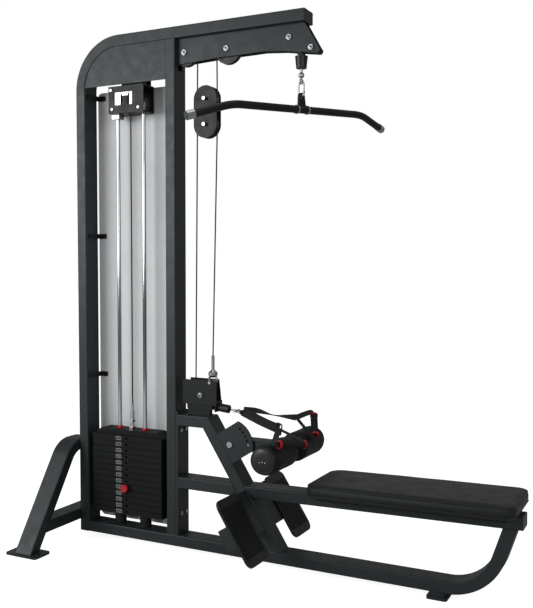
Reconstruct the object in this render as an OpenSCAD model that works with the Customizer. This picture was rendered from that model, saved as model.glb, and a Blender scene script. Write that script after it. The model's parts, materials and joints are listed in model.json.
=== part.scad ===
// Lat pulldown and low row machine: one weight stack, a high pulley with a bent bar,
// a low pulley with two strap handles, a thigh roller arm and a long seat.
// Z = 0 is the floor, X runs along the machine, Y = 0 is its mid-plane.

/* [Frame] */
// Height of the boom's top face above the floor
total_h = 2284; // [2150:1:2400]
// Width of the frame tubes, seen from the side
tube_w = 50; // [40:1:60]
// Depth of the frame tubes, across the machine
tube_d = 90; // [70:1:110]
// Wall of the frame tubes
wall = 3; // [2:0.5:5]
// Outside corner radius of the tubes
corner_r = 5; // [4:0.5:8]
// Outside radius of the large bends
bend_r = 230; // [180:5:280]
// Underside of the base rail above the floor
base_z = 30; // [20:1:50]
// Outer width of the stack tower
tower_w = 530; // [480:5:600]
// End of the boom, from the tower's back face
boom_x = 1126; // [1000:1:1250]
// End of the seat rail
seat_x = 2003; // [1900:1:2100]
// Slope of the slanted tube from the floor
slant = 57.6; // [50:0.1:65]
// Rise of the seat rail towards the rear
seat_rise = 1.05; // [0:0.05:3]

/* [Weight stack] */
// Number of plates below the head plate
plate_n = 12; // [8:1:15]
// Plates left on the bumpers when the stack is lifted
plate_rest = 4; // [1:1:8]
// Height from one plate to the next
plate_pitch = 28; // [24:0.5:32]
// Length of a plate
plate_l = 380; // [320:5:400]
// Depth of a plate
plate_d = 104; // [90:1:120]
// Radius of the guide rods
rod_r = 9; // [8:0.5:14]

/* [Cable run] */
// Radius of the coated cable
cable_r = 3; // [2:0.25:4]
// Groove radius of the tower pulleys
groove_r = 50; // [44:1:56]
// Groove radius of the two pulleys in the floating block
block_r = 46; // [40:1:48]

/* [Seat and rollers] */
// Top of the seat pad above the floor
seat_top = 406; // [380:1:450]
// Width of the seat pad
seat_w = 330; // [280:5:380]
// Radius of the foam rollers
foam_r = 61; // [45:1:65]
// Half width over the two rollers
foam_y = 251; // [220:1:280]

/* [Hidden] */
$fn = 64;
x_low = -130;
x_high = seat_x + 5;
shift = -(x_low + x_high) / 2;
tw = tube_w;
hd = tube_d / 2;
mid_r = bend_r - tw / 2;
inner_r = bend_r - tw;
boom_u = total_h - tw;
bend_z = total_h - bend_r;
base_t = base_z + tw;
post_x = tower_w - tw;
stack_x = tower_w / 2 + 5;
rod_dx = 69;
// slanted tube: its upper edge starts at the knee corner
knee_x = 692;
knee_z = 618.5;
sn = sin(slant);
// seat rail
rail_t = 342;
rail_b = rail_t - tw;
// rear bend of the base rail
bend_x = 1728;
lean = 72;
mitre = (180 - slant) / 2;
// legs of the rear arch
arch_a = 57;
arch_c = 22;
arch_z = 330;
arch_m = 105;
// weight stack
stack_z = base_t + 58;
plate_t = plate_pitch - 0.6;
head_z = stack_z + plate_n * plate_pitch;
head_top = head_z + 49;
pin_z = stack_z + plate_rest * plate_pitch + plate_t / 2;
stem_r = 12;
stem_top = 640;
// cable run, all pulleys stand in the mid-plane
run_z = boom_u - 10;
p0 = [stack_x + groove_r + cable_r, run_z - groove_r];
p1 = [565, run_z - groove_r];
p2 = [770, run_z - 55];
lat_x = 1102;
p3 = [lat_x - 42 - cable_r, run_z - 42];
block_x = 665;
block_up = 1973;
block_lo = 1865;
low_p = [651, 711];
low_r = 42;
anchor = [692, 766];
axle_r = 6;
// lat bar
hole_z = 1946;
eye_z = 2006.5;
gate_z = 1964.4;
bar_z = 1895;
bar_r = 15;
bar_half = 378;
bar_yaw = -19;
bar_tilt = 3.9;
// direction of the bar's end beyond its bend
bar_dir = [-0.2029, 0.9484, -0.2438];
// thigh roller arm
piv = [800, 511];
roll = [1057, 508];
pin_ring = 85;
pin_a = 3.5;
pin_step = 13;
// low row handles
dbar = [832, 646];
v1 = [1046, -80, 606];
v2 = [1060, 60, 632];
g1a = [1109, -213, 573];
g1b = [1169, -100, 558];
g2a = [1084, 192, 624];
g2b = [1125, 108, 553];
lead = 34;
row_a = [646.5, 0, 666.2];
row_b = [786, 0, 651.6];

charcoal = [0.15, 0.17, 0.18];
black = [0.04, 0.04, 0.045];
silver = [0.75, 0.76, 0.77];
red = [0.7, 0.03, 0.05];

module at() {
  translate([shift, 0, 0]) children();
}

// prism across the machine from y0 to y1, drawn in X and Z
module xz(y0, y1) {
  translate([0, y1, 0]) rotate([90, 0, 0]) linear_extrude(y1 - y0) children();
}

module rrect(a, b, r) {
  square([a - 2 * r, b], center = true);
  square([a, b - 2 * r], center = true);
  for (i = [-1, 1], j = [-1, 1])
    translate([i * (a / 2 - r), j * (b / 2 - r)]) circle(r);
}

module profile(a, b) {
  difference() {
    rrect(a, b, corner_r);
    rrect(a - 2 * wall, b - 2 * wall, corner_r - wall);
  }
}

// sleeve inside the tube where a bend meets a straight
module sleeve(a, b) {
  translate([0, 0, -4]) linear_extrude(8) difference() {
    square([a - wall, b - wall], center = true);
    square([a - 3 * wall, b - 3 * wall], center = true);
  }
}

// cylinder across the machine
module ycyl(x, z, r, y0, y1) {
  translate([x, y1, z]) rotate([90, 0, 0]) cylinder(r = r, h = y1 - y0);
}

// cylinder between two points
module rod(p, q, r) {
  d = q - p;
  translate(p) rotate([0, acos(d[2] / norm(d)), atan2(d[1], d[0])])
    cylinder(r = r, h = norm(d));
}

// flat band between two points
module band(p, q, w, t, roll = 0) {
  d = q - p;
  translate(p) rotate([0, 0, atan2(d[1], d[0])]) rotate([roll, -asin(d[2] / norm(d)), 0])
    translate([-1, -w / 2, -t / 2]) cube([norm(d) + 2, w, t]);
}

// arc of a bar in the X and Z plane, angles from +X towards +Z
module arc_y(x, z, r, a0, turn) {
  translate([x, 0, z]) rotate([90, 0, 0]) rotate([0, 0, a0])
    rotate_extrude(angle = turn) translate([r, 0]) children();
}

// half space to one side of a line through (x, z)
module side(x, z, a, up) {
  translate([x, 0, z]) rotate([0, -a, 0])
    translate([-1500, -400, up ? 0 : -1500]) cube([3000, 800, 1500]);
}

// frame on the slanted tube: x down the slope, z out from its upper face
module on_slant() {
  translate([knee_x, 0, knee_z]) rotate([0, slant, 0]) children();
}

module pulley(c, r) {
  translate([c[0], 0, c[1]]) rotate([90, 0, 0]) rotate_extrude()
    polygon([[axle_r + 0.05, -12], [18, -12], [18, -9], [r - 8, -7], [r - 6, -12],
      [r + 6, -12], [r + 6, -9], [r, -4], [r, 4], [r + 6, 9], [r + 6, 12], [r - 6, 12],
      [r - 8, 7], [18, 9], [18, 12], [axle_r + 0.05, 12]]);
}

module plate(z) {
  difference() {
    union() {
      translate([stack_x, 0, z + 2]) linear_extrude(plate_t - 4) rrect(plate_l, plate_d, 6);
      translate([stack_x, 0, z]) linear_extrude(plate_t) rrect(plate_l - 5, plate_d - 5, 5);
    }
    for (s = [-1, 1])
      translate([stack_x + s * rod_dx, 0, z - 1]) cylinder(r = rod_r + 1, h = plate_t + 2);
    translate([stack_x, 0, z - 1]) cylinder(r = 14, h = plate_t + 2);
    ycyl(stack_x, z + plate_t / 2, 5.5, -plate_d, 0);
  }
}

module main_tube() {
  color(charcoal) at() {
    translate([tw / 2, 0, base_z]) linear_extrude(bend_z - base_z) profile(tw, tube_d);
    arc_y(bend_r, bend_z, mid_r, 90, 90) profile(tw, tube_d);
    translate([bend_r, 0, total_h - tw / 2]) rotate([0, 90, 0])
      linear_extrude(boom_x - bend_r) profile(tw, tube_d);
  }
}

module right_post() {
  color(charcoal) at() difference() {
    translate([post_x + tw / 2, 0, base_t]) linear_extrude(boom_u - base_t)
      profile(tw, tube_d);
    translate([post_x - 1, -16, p1[1] - 70]) cube([tw + 2, 32, 200]);
  }
}

module base_rail() {
  color(charcoal) at() difference() {
    union() {
      translate([tw, 0, base_z + tw / 2]) rotate([0, 90, 0])
        linear_extrude(bend_x - tw) profile(tw, tube_d);
      arc_y(bend_x, base_z + bend_r, mid_r, 270, lean) profile(tw, tube_d);
      translate([bend_x + mid_r * sin(lean), 0, base_z + bend_r - mid_r * cos(lean)])
        rotate([0, 90 - lean, 0]) {
          translate([0, 0, 0.02]) linear_extrude(150) profile(tw, tube_d);
          sleeve(tw, tube_d);
        }
    }
    rise() translate([bend_x, -100, rail_b]) cube([600, 200, 300]);
  }
}

module header_panel() {
  color(charcoal) at() xz(-42, -39) {
    translate([bend_r, 2067]) square([post_x - bend_r, boom_u - 2067]);
    intersection() {
      translate([bend_r, bend_z]) circle(inner_r, $fn = 128);
      translate([tw, 2067]) square([bend_r - tw, boom_u - 2067]);
    }
  }
}

module arch_leg() {
  y = arch_c + arch_m * sin(arch_a);
  z = arch_z + arch_m * cos(arch_a);
  translate([-hd, arch_c, arch_z + arch_m]) rotate([90, 0, 0]) sleeve(tube_d, tw);
  translate([-hd, y, z]) rotate([270 - arch_a, 0, 0]) sleeve(tube_d, tw);
  translate([-hd, arch_c, arch_z]) rotate([0, 90, 0]) rotate([0, 0, 180 - arch_a])
    rotate_extrude(angle = arch_a) translate([arch_m, 0]) profile(tw, tube_d);
  translate([-hd, y, z]) rotate([270 - arch_a, 0, 0]) translate([0, 0, 0.02])
    linear_extrude(500) profile(tube_d, tw);
}

module rear_arch() {
  color(charcoal) at() difference() {
    union() {
      translate([-hd, arch_c - 0.02, arch_z + arch_m]) rotate([90, 0, 0])
        linear_extrude(2 * arch_c - 0.04) profile(tube_d, tw);
      arch_leg();
      mirror([0, 1, 0]) arch_leg();
    }
    translate([-200, -600, -190]) cube([400, 1200, 200]);
  }
}

module arch_brace() {
  color(charcoal) at() intersection() {
    translate([-hd, 300, 105]) rotate([90, 0, 0]) linear_extrude(600)
      profile(tube_d, tw);
    translate([-200, 0, 0]) rotate([90, 0, 90]) linear_extrude(400)
      polygon([[-279.5, 80], [279.5, 80], [247, 130], [-247, 130]]);
  }
}

module tube_caps() {
  color(black) at() {
    translate([boom_x, 0, total_h - tw / 2]) rotate([0, 90, 0]) linear_extrude(5)
      rrect(tw, tube_d, corner_r);
    rise() translate([seat_x, 0, rail_b + tw / 2]) rotate([0, 90, 0])
      linear_extrude(5) rrect(tw, tube_d, corner_r);
  }
}

module boom_outline() {
  difference() {
    union() {
      polygon([[tower_w, boom_u], [tower_w, 2127], [720, 2136], [940, 2139], [1033, 2131],
        [1176, 2108], [1187, 2124], [1123, boom_u]]);
      translate([1176, 2120]) circle(12);
    }
    for (p = [p1, p2, p3, [1153, 2132]]) translate(p) circle(axle_r + 0.2);
  }
}

module boom_plates() {
  color(charcoal) at() {
    xz(-21, -16) boom_outline();
    xz(16, 21) boom_outline();
  }
}

module post_flange() {
  color(charcoal) at() translate([tower_w, -hd, base_t]) cube([10, tube_d, 550]);
}

module slant_tube() {
  color(charcoal) at() {
    difference() {
      translate([tower_w + 10, 0, knee_z - tw / 2]) rotate([0, 90, 0])
        linear_extrude(200) profile(tw, tube_d);
      side(knee_x - 0.02, knee_z, mitre, false);
    }
    difference() {
      on_slant() translate([-80, 0, -tw / 2]) rotate([0, 90, 0]) linear_extrude(800)
        profile(tw, tube_d);
      side(knee_x, knee_z, mitre, true);
      translate([600, -200, base_t - 300]) cube([800, 400, 300]);
    }
  }
}

module rail_tube(a, b) {
  translate([a, 0, rail_b + tw / 2]) rotate([0, 90, 0]) linear_extrude(b - a)
    profile(tw, tube_d);
}

// the rear of the seat rail rises a little
module rise() {
  translate([900, 0, rail_b]) rotate([0, -seat_rise, 0]) translate([-900, 0, -rail_b])
    children();
}

// the rail in two lengths, one each side of the slanted tube
module seat_rail() {
  color(charcoal) at() {
    difference() {
      rail_tube(tower_w + 10, 940);
      side(knee_x - tw / sn, knee_z, -slant, true);
    }
    difference() {
      rise() rail_tube(780, seat_x);
      side(knee_x, knee_z, -slant, false);
    }
  }
}

module low_box() {
  color(black) at() {
    difference() {
      union() {
        xz(-35, -30) translate([560, 668]) square([168, 107]);
        xz(30, 35) polygon([[560, 668], [560, 775], [704, 775], [716, 668]]);
        for (s = [-1, 1]) {
          translate([573, s * 18 - 2, 652]) cube([127, 4, 60]);
          ycyl(low_p[0], low_p[1], 16, s > 0 ? 20 : -30, s > 0 ? 30 : -20);
        }
        translate([573, -20, 647]) cube([143, 40, 5]);
        translate([573, -14, knee_z]) cube([108, 28, 647 - knee_z]);
        translate([716, -30, 640]) cube([5, 60, 46]);
      }
      ycyl(low_p[0], low_p[1], axle_r + 0.2, -50, 50);
      ycyl(anchor[0], anchor[1], axle_r + 0.2, -50, 50);
      rod([700, 0, 660.6], [740, 0, 656.4], 7);
    }
  }
}

module sector(y0, y1, hole) {
  difference() {
    on_slant() xz(y0, y1) intersection() {
      translate([148.6, 33.5]) circle(109, $fn = 128);
      translate([82, 0]) square([140, 150]);
    }
    ycyl(piv[0], piv[1], 10.2, y0 - 1, y1 + 1);
    if (hole) for (i = [0:4]) {
      a = pin_a + i * pin_step;
      ycyl(piv[0] + pin_ring * cos(a), piv[1] + pin_ring * sin(a), 5.8, y0 - 1, y1 + 1);
    }
    else {
      arc_y(piv[0], piv[1], pin_ring, pin_a, 4 * pin_step)
        square([14, 2 * 60], center = true);
      for (a = [pin_a, pin_a + 4 * pin_step])
        ycyl(piv[0] + pin_ring * cos(a), piv[1] + pin_ring * sin(a), 7, y0 - 1, y1 + 1);
    }
  }
}

module sector_plates() {
  color(charcoal) at() {
    sector(-hd, -hd + 3, true);
    sector(-hd + 3, -hd + 7, false);
    difference() {
      on_slant() xz(hd - 7, hd) {
        translate([148.6, 33.5]) circle(32);
        translate([116.6, 0]) square([64, 33.5]);
      }
      ycyl(piv[0], piv[1], 10.2, hd - 8, hd + 1);
    }
  }
}

// a beam out to each foot plate and a gusset beside the tube
module foot_beam() {
  color(charcoal) at() on_slant() for (s = [-1, 1]) {
    translate([440, s > 0 ? hd : -hd - 258, -48]) cube([90, 258, 44]);
    translate([345, s > 0 ? hd : -hd - 110, -12]) cube([95, 110, 8]);
  }
}

module foot_plates() {
  color(black) at() on_slant() for (s = [-1, 1]) {
    translate([482, s * 214, -4]) linear_extrude(9) rrect(292, 178, 34);
    for (i = [-5:5])
      translate([372, s * 214 + i * 14 - 3, 4.9]) cube([220, 6, 3]);
  }
}

module floor_feet() {
  color(charcoal) at() {
    for (s = [-1, 1]) difference() {
      translate([-hd, s * 350, 0]) linear_extrude(10) rrect(170, 100, 12);
      for (i = [-1, 1])
        translate([-hd + i * 66, s * 350, -1]) cylinder(r = 6.5, h = 12);
    }
    translate([1693, 0, 0]) linear_extrude(12) rrect(80, 92, 10);
    translate([1693, 0, 12]) linear_extrude(base_z - 12) rrect(64, 76, 8);
  }
}

module shroud() {
  color([0.8, 0.82, 0.83]) at() {
    xz(60, 63) translate([tower_w / 2, 1073]) rrect(440, 1976, 22);
    for (s = [-1, 1])
      translate([tower_w / 2 + s * 218.5 - 1.5, 63, 110]) cube([3, 18, 1926]);
  }
}

module shroud_clips() {
  color(black) at() for (z = [758, 1402, 2034], m = [0, 1])
    translate([m * tower_w, 0, 0]) mirror([m, 0, 0]) {
      translate([tw, -28, z - 11]) cube([4, 88, 22]);
      translate([tw + 4, 56, z - 11]) cube([34, 4, 22]);
      ycyl(tw + 28, z, 5, 53, 56);
    }
}

module guide_rods() {
  color(silver) at() for (s = [-1, 1])
    translate([stack_x + s * rod_dx, 0, base_t]) cylinder(r = rod_r, h = 1985 - base_t);
}

module rod_bracket() {
  color(black) at() difference() {
    union() {
      translate([180, -42, 1941]) cube([186, 84, 8]);
      translate([180, -42, 2052]) cube([186, 84, 8]);
      for (s = [-1, 1]) translate([180, s * 39 - 3, 1949]) cube([186, 6, 103]);
      for (s = [-1, 1]) translate([236, s * 18.5 - 2, 2060]) cube([130, 4, boom_u - 2060]);
      translate([stack_x - 14, -16.5, 2200]) cube([10, 33, boom_u - 2200]);
    }
    for (s = [-1, 1])
      translate([stack_x + s * rod_dx, 0, 1936]) cylinder(r = rod_r + 0.2, h = 55);
    translate([stack_x, 0, 1900]) cylinder(r = 14, h = 200);
    translate([208, -60, 1977]) cube([98, 60, 57]);
    ycyl(p0[0], p0[1], axle_r + 0.2, -50, 50);
  }
}

module rod_clamps() {
  color(silver) at() {
    difference() {
      translate([stack_x - rod_dx - 19, -20, 1921]) cube([38, 40, 20]);
      translate([stack_x - rod_dx, 0, 1910]) cylinder(r = rod_r + 0.1, h = 40);
    }
    translate([211, -36, 1949]) cube([30, 14, 103]);
    translate([289, -36, 1949]) cube([17, 14, 103]);
    xz(-36, -32) polygon([[243, 2052], [287, 2052], [287, 2034], [280, 2018], [250, 2018],
      [243, 2034]]);
  }
}

module bumpers() {
  color(black) at() for (s = [-1, 1]) difference() {
    translate([stack_x + s * rod_dx, 0, base_t]) cylinder(r = 26, h = 58);
    translate([stack_x + s * rod_dx, 0, base_t - 1]) cylinder(r = rod_r + 0.1, h = 70);
  }
}

module resting_plates() {
  color(black) at() for (i = [0:plate_rest - 1]) plate(stack_z + i * plate_pitch);
}

module head(x, z, y, r, h) {
  ycyl(x, z, r, y > 0 ? y : y - h, y > 0 ? y + h : y);
}

module axle(c, y) {
  ycyl(c[0], c[1], axle_r, -y, y);
  for (s = [-1, 1]) difference() {
    ycyl(c[0], c[1], 12, s > 0 ? 12.4 : -15.8, s > 0 ? 15.8 : -12.4);
    ycyl(c[0], c[1], 5, -40, 40);
  }
}

module axle_bolts() {
  color(silver) at() {
    for (p = [p1, p2, p3]) axle(p, 21);
    axle(low_p, 35);
    ycyl(p0[0], p0[1], axle_r, -24, 24);
    ycyl(1153, 2132, axle_r, -21, 21);
    ycyl(anchor[0], anchor[1], axle_r, -35, 35);
    ycyl(piv[0], piv[1], 10, -hd, hd);
    for (s = [-1, 1]) {
      for (p = [p1, p2, p3, [1153, 2132]]) head(p[0], p[1], s * 21, 11, 7);
      head(low_p[0], low_p[1], s * 35, 11, 7);
      head(piv[0], piv[1], s * hd, 13, 6);
      head(194, 2044, s * 42, 6, 4);
      head(stack_x + s * 70, 1960, -42, 6, 4);
      for (z = [175, 545])
        translate([tower_w + 10, s * 20, z]) rotate([0, 90, 0]) cylinder(r = 9, h = 6);
    }
  }
}

module cable_guides() {
  color(black) at() {
    difference() {
      union() {
        translate([lat_x, 0, 2058]) cylinder(r1 = 21, r2 = 26, h = 48);
        translate([lat_x, 0, 2106]) cylinder(r = 15.5, h = 17);
        translate([lat_x - 28, -16, 2122]) cube([56, 32, 6]);
      }
      translate([lat_x, 0, 2050]) cylinder(r = 5, h = 90);
    }
    difference() {
      rod([723, 0, 658.2], [772, 0, 653.1], 18);
      rod([700, 0, 660.6], [790, 0, 651.2], 6);
    }
  }
}

module cable_anchor() {
  color(silver) at() {
    difference() {
      translate([anchor[0], 0, anchor[1] + 10]) rotate([90, 0, 0])
        rotate_extrude() translate([19, 0]) circle(5, $fn = 32);
      ycyl(anchor[0], anchor[1], axle_r + 0.2, -40, 40);
    }
    translate([anchor[0], 0, 786]) cylinder(r1 = 12, r2 = 20, h = 9);
    translate([anchor[0], 0, 795]) cylinder(r = 20, h = 12);
    translate([anchor[0], 0, 807]) cylinder(r1 = 20, r2 = 7, h = 13);
    translate([anchor[0], 0, 820]) cylinder(r = 7, h = 60);
  }
}

// cable lying on the pulleys that stand still
module cable_fixed() {
  color(black) at() {
    arc_y(p0[0], p0[1], groove_r + cable_r, 90, 90) circle(cable_r, $fn = 24);
    rod([p0[0], 0, run_z + cable_r], [p1[0], 0, run_z + cable_r], cable_r);
    arc_y(p1[0], p1[1], groove_r + cable_r, 0, 90) circle(cable_r, $fn = 24);
    arc_y(p2[0], p2[1], 58, 90, 90) circle(cable_r, $fn = 24);
    rod([p2[0], 0, run_z + cable_r], [p3[0], 0, run_z + cable_r], cable_r);
    arc_y(p3[0], p3[1], 45, 0, 90) circle(cable_r, $fn = 24);
    arc_y(low_p[0], low_p[1], low_r + cable_r, 180, 84) circle(cable_r, $fn = 24);
  }
}

module cable_stack() {
  color(black) at() rod([stack_x, 0, stem_top + 0.4], [stack_x, 0, p0[1] - 0.2], cable_r);
}

module cable_lat() {
  color(black) at() rod([lat_x, 0, 2056.4], [lat_x, 0, p3[1] - 0.2], cable_r);
}

module cable_block() {
  color(black) at() {
    rod([block_x - 49, 0, block_up], [p1[0] + 53, 0, p1[1] - 0.2], cable_r);
    rod([block_x + 49, 0, block_up], [p2[0] - 58, 0, p2[1] - 0.2], cable_r);
    rod([low_p[0] - 45, 0, low_p[1] + 0.2], [block_x - 49, 0, block_lo], cable_r);
    rod([anchor[0], 0, 880.4], [block_x + 49, 0, block_lo], cable_r);
  }
}

module cable_row() {
  color(black) at() rod(row_a, row_b, cable_r);
}

module seat_board() {
  color(black) at() rise() translate([1238, -seat_w / 2 + 30, rail_t])
    cube([728, seat_w - 60, 10]);
}

module seat_pad() {
  color(black) at() rise() {
    x0 = 1190;
    x1 = seat_x;
    translate([(x0 + x1) / 2, 0, rail_t + 10]) {
      linear_extrude(8) rrect(x1 - x0 - 12, seat_w - 12, 42);
      translate([0, 0, 8]) linear_extrude(seat_top - rail_t - 24) rrect(x1 - x0, seat_w, 48);
      translate([0, 0, seat_top - rail_t - 16]) linear_extrude(6)
        rrect(x1 - x0 - 14, seat_w - 14, 42);
    }
  }
}

module head_plate() {
  color(black) at() difference() {
    union() {
      translate([stack_x, 0, head_z]) linear_extrude(26) rrect(plate_l, plate_d, 6);
      xz(-40, 40) polygon([[stack_x - 180, head_z + 26], [stack_x + 180, head_z + 26],
        [stack_x + 150, head_top], [stack_x - 150, head_top]]);
    }
    for (s = [-1, 1])
      translate([stack_x + s * rod_dx, 0, head_z - 1]) cylinder(r = rod_r + 1, h = 60);
    translate([stack_x, 0, head_z - 1]) cylinder(r = stem_r + 0.2, h = 60);
    ycyl(stack_x, head_z + 13, 5.5, -plate_d, 0);
  }
}

module lifted_plates() {
  color(black) at() for (i = [plate_rest:plate_n - 1]) plate(stack_z + i * plate_pitch);
}

module stack_stem() {
  color(silver) at() difference() {
    union() {
      translate([stack_x, 0, stack_z + 4]) cylinder(r = stem_r, h = head_top - stack_z - 4);
      translate([stack_x, 0, head_top]) cylinder(r = 17, h = 12, $fn = 6);
      translate([stack_x, 0, head_top + 12]) cylinder(r = 9, h = 70);
      translate([stack_x, 0, head_top + 82]) cylinder(r = 6, h = stem_top - head_top - 82);
      translate([stack_x, 0, head_top + 34]) cylinder(r = 14, h = 10, $fn = 6);
    }
    for (i = [0:plate_n])
      ycyl(stack_x, stack_z + i * plate_pitch + plate_t / 2, 5.5, -30, 30);
  }
}

module rod_bushings() {
  color(red) at() for (s = [-1, 1]) difference() {
    translate([stack_x + s * rod_dx, 0, head_top]) cylinder(r = 15, h = 10);
    translate([stack_x + s * rod_dx, 0, head_top - 1]) cylinder(r = rod_r + 0.5, h = 40);
  }
}

module selector_pin() {
  color(red) at() {
    ycyl(stack_x, pin_z, 5, -58, 11);
    ycyl(stack_x, pin_z, 11, -61, -58);
    ycyl(stack_x, pin_z, 17, -74, -61);
  }
}

module pulley_high() {
  color(black) at() pulley(p0, groove_r);
}

module pulley_post() {
  color(black) at() pulley(p1, groove_r);
}

module pulley_boom() {
  color(black) at() pulley(p2, 55);
}

module pulley_front() {
  color(black) at() pulley(p3, 42);
}

module pulley_low() {
  color(black) at() pulley(low_p, low_r);
}

module block_plates() {
  color(black) at() for (s = [-1, 1]) xz(s * 16.5 - 2.5, s * 16.5 + 2.5) difference() {
    union() {
      translate([block_x, block_up]) circle(56);
      translate([block_x, block_lo]) circle(56);
      translate([block_x - 56, block_lo]) square([112, block_up - block_lo]);
    }
    for (z = [block_up, block_lo]) translate([block_x, z]) circle(axle_r + 0.2);
  }
}

module block_axles() {
  color(silver) at() for (z = [block_up, block_lo]) {
    ycyl(block_x, z, axle_r, -19, 19);
    for (s = [-1, 1]) {
      head(block_x, z, s * 19, 6.5, 10);
      head(block_x, z, s * 29, 7.5, 5);
      difference() {
        ycyl(block_x, z, 11, s > 0 ? 12.4 : -13.8, s > 0 ? 13.8 : -12.4);
        ycyl(block_x, z, 5, -40, 40);
      }
    }
  }
}

module pulley_upper() {
  color(black) at() pulley([block_x, block_up], block_r);
}

module pulley_lower() {
  color(black) at() pulley([block_x, block_lo], block_r);
}

// swivel body at the cable's end, with a chamber for the turning eye
module swivel_top() {
  color(silver) at() difference() {
    union() {
      translate([lat_x, 0, 2031]) sphere(12);
      translate([lat_x, 0, 2040]) cylinder(r = 6, h = 16);
    }
    translate([lat_x, 0, 2010]) cylinder(r = 4, h = 20);
    translate([lat_x, 0, 2026]) cylinder(r = 7, h = 9);
  }
}

module on_bar() {
  translate([lat_x, 0, 0]) rotate([0, 0, bar_yaw]) children();
}

// eye and snap hook, open on the side of its gate
module lat_hook() {
  color(silver) at() on_bar() {
    translate([0, 0, 2014]) cylinder(r = 3.4, h = 13);
    translate([0, 0, 2026.5]) cylinder(r = 6.2, h = 3);
    translate([0, 0, eye_z]) rotate([0, 90, 0])
      rotate_extrude() translate([9, 0]) circle(2.8, $fn = 24);
    arc_y(0, eye_z - 14, 14, 0, 180) circle(3.6, $fn = 24);
    arc_y(0, 1960, 14, 180, 180) circle(3.6, $fn = 24);
    translate([-14, 0, 1960]) cylinder(r = 3.6, h = eye_z - 14 - 1960);
  }
}

module lat_gate() {
  color(silver) at() on_bar() translate([14, 0, gate_z]) {
    ycyl(0, 0, 3.4, -3.6, 3.6);
    cylinder(r = 3.4, h = eye_z - 18.4 - gate_z);
    translate([0, 0, eye_z - 18.4 - gate_z]) sphere(3.4);
  }
}

module on_lug() {
  on_bar() translate([0, 0, hole_z]) rotate([bar_tilt, 0, 0]) translate([0, 0, -hole_z])
    children();
}

// points on the bar's axis beyond its bend
function past(d) = [0, bar_half, bar_z] + d * bar_dir;

module bar_end() {
  translate(past(0)) sphere(bar_r + 0.3);
  rod(past(0), past(170), bar_r);
}

module lat_bar() {
  color(black) at() on_lug() {
    translate([0, bar_half, bar_z]) rotate([90, 0, 0]) cylinder(r = bar_r, h = 2 * bar_half);
    bar_end();
    mirror([0, 1, 0]) bar_end();
    translate([-6, 0, 0]) rotate([90, 0, 90]) linear_extrude(12) difference() {
      union() {
        translate([0, hole_z]) circle(16);
        polygon([[-16, hole_z], [16, hole_z], [22, bar_z], [-22, bar_z]]);
      }
      translate([0, hole_z]) circle(8);
    }
  }
}

module cap_end() {
  rod(past(170), past(203), bar_r + 2);
}

module bar_fittings() {
  color(silver) at() on_lug() {
    cap_end();
    mirror([0, 1, 0]) cap_end();
    for (s = [-1, 1]) difference() {
      ycyl(0, bar_z, bar_r + 3, s * 30 - 4, s * 30 + 4);
      ycyl(0, bar_z, bar_r, -60, 60);
    }
  }
}

// plate on the arm behind the row of holes
module quadrant() {
  xz(-37.4, -33) translate(piv) intersection() {
    difference() {
      circle(104, $fn = 128);
      circle(66);
    }
    polygon([[0, 0], [160 * cos(8), -160 * sin(8)], [178, 91], [160 * cos(64), 160 * sin(64)]]);
  }
}

module roller_arm() {
  color(charcoal) at() {
    difference() {
      union() {
        ycyl(piv[0], piv[1], 25, -33, 33);
        translate([piv[0], -33, piv[1] - 25]) cube([250, 66, 50]);
        ycyl(roll[0], roll[1], 27, -30, 30);
        quadrant();
      }
      ycyl(piv[0], piv[1], 10.05, -60, 60);
      translate([piv[0] + 34, -30, piv[1] - 22]) cube([180, 60, 44]);
      ycyl(piv[0] + pin_ring * cos(pin_a), piv[1] + pin_ring * sin(pin_a), 5.6, -60, 60);
    }
    ycyl(roll[0], roll[1], 12.5, 30, foam_y - 7.6);
    ycyl(roll[0], roll[1], 12.5, -foam_y + 7.6, -30);
  }
}

module foam_rollers() {
  color(black) at() for (s = [-1, 1]) difference() {
    ycyl(roll[0], roll[1], foam_r, s > 0 ? 34 : -foam_y + 8, s > 0 ? foam_y - 8 : -34);
    ycyl(roll[0], roll[1], 12.55, s > 0 ? 20 : -foam_y, s > 0 ? foam_y : -20);
  }
}

module roller_caps() {
  color(black) at() for (s = [-1, 1]) {
    head(roll[0], roll[1], s * (foam_y - 7.6), 54, 9);
    head(roll[0], roll[1], s * (foam_y + 1.4), 48, 3);
  }
}

module pop_pin() {
  color(silver) at() {
    a = [piv[0] + pin_ring * cos(pin_a), piv[1] + pin_ring * sin(pin_a)];
    ycyl(a[0], a[1], 5, -hd + 3.4, hd - 7);
    ycyl(a[0], a[1], 14, hd - 7, hd + 15);
  }
}

// link on the cable's end with a straight bar for the straps
module row_hook() {
  color(silver) at() {
    rod(row_b, [808, 0, 649.3], 5);
    ycyl(808, 649.3, 4.6, -23, 23);
    ycyl(dbar[0], dbar[1], 4, -23, 23);
    for (s = [-1, 1]) rod([808, s * 19, 649.3], [dbar[0], s * 19, dbar[1]], 3.6);
  }
}

// the two ends of a strap run through a hollow grip and meet at v
module strap_end(v, a, b) {
  u = (b - a) / norm(b - a);
  e = a - lead * u;
  f = b + lead * u;
  band(v, e, 20, 2.4);
  band(v, f, 20, 2.4);
  band(e, f, 19, 2.4);
}

module row_straps() {
  color(black) at() {
    difference() {
      ycyl(dbar[0], dbar[1], 7.5, -14, 14);
      ycyl(dbar[0], dbar[1], 4.4, -20, 20);
    }
    band([dbar[0] + 7, -3, dbar[1]], v1, 40, 3, 90);
    band([dbar[0] + 7, 3, dbar[1]], v2, 24, 3, 90);
    strap_end(v1, g1a, g1b);
    strap_end(v2, g2a, g2b);
    translate(v1) cube([34, 10, 44], center = true);
  }
}

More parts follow.
